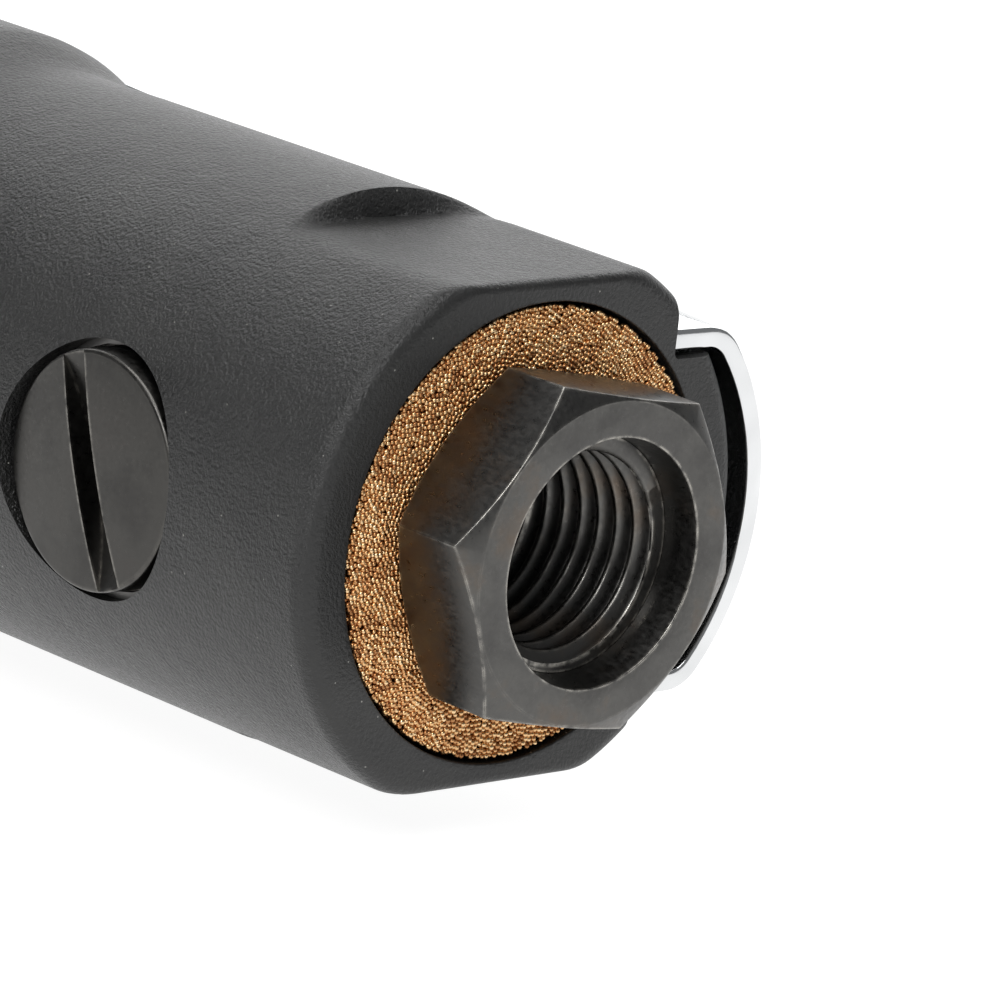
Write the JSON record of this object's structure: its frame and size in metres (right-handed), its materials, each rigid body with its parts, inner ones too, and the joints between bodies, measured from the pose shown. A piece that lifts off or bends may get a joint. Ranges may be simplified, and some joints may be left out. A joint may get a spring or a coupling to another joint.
{
  "type": "air tool handle with exhaust muffler",
  "caption": "Rear handle of a lever-throttle air tool with a sintered bronze ring muffler, a hexagonal inlet bushing and a slotted air regulator.",
  "frame": {"origin": "where the tool's axis crosses the housing's rear end face, the end that the hose is screwed into", "axes": "+X along the tool's axis, out of the inlet; +Z the normal of the upper wrench flat; +Y towards the lever"},
  "size_m": [0.1144, 0.0524, 0.036],
  "materials": {
    "coated_aluminium": "black textured coating",
    "black_oxide_steel": "black oxide",
    "stainless_mesh": "woven",
    "spring_steel": "oiled",
    "copper": "satin",
    "sintered_bronze": "porous",
    "black_rubber": "matte",
    "brass": "turned",
    "ground_steel": "ground",
    "chromed_steel": "polished",
    "gasket_fibre": "matte"
  },
  "bodies": {
    "handle": {"housing": "coated_aluminium", "inlet_bushing": "black_oxide_steel", "inlet_screen": "stainless_mesh", "screen_ring": "spring_steel", "inlet_seal": "copper", "muffler_ring": "sintered_bronze", "regulator_clip": "spring_steel", "valve_seat": "brass", "throttle_spring": "spring_steel", "pin_bushing": "brass", "pin_oring": "black_rubber", "lever_pin": "spring_steel", "motor_dowel": "ground_steel", "motor_gasket": "gasket_fibre"},
    "throttle_lever": {"lever": "chromed_steel"},
    "throttle": {"throttle_valve": "brass", "valve_seal": "black_rubber", "throttle_pin": "ground_steel"},
    "air_regulator": {"regulator": "black_oxide_steel", "regulator_oring_outer": "black_rubber", "regulator_oring_inner": "black_rubber"}
  },
  "joints": [
    {"name": "lever_hinge", "type": "hinge", "parent": "handle", "child": "throttle_lever", "pos_m": [-0.012, 0.0123, 0], "axis": [0, 0, 1], "range_deg": [0, 6.8], "stiffness_Nm_per_rad": 0.104, "springref_deg": -14.32},
    {"name": "throttle_slide", "type": "slide", "parent": "handle", "child": "throttle", "axis": [0, -1, 0], "range_m": [0, 0.00087], "deforming": ["throttle_spring"]},
    {"name": "regulator_turn", "type": "hinge", "parent": "handle", "child": "air_regulator", "pos_m": [-0.0192, 0, 0], "axis": [0, -1, 0], "range_deg": [-20, 70]}
  ],
  "couplings": [
    {"joint": "throttle_slide", "follows": "lever_hinge", "m_per_rad": 0.0072}
  ]
}
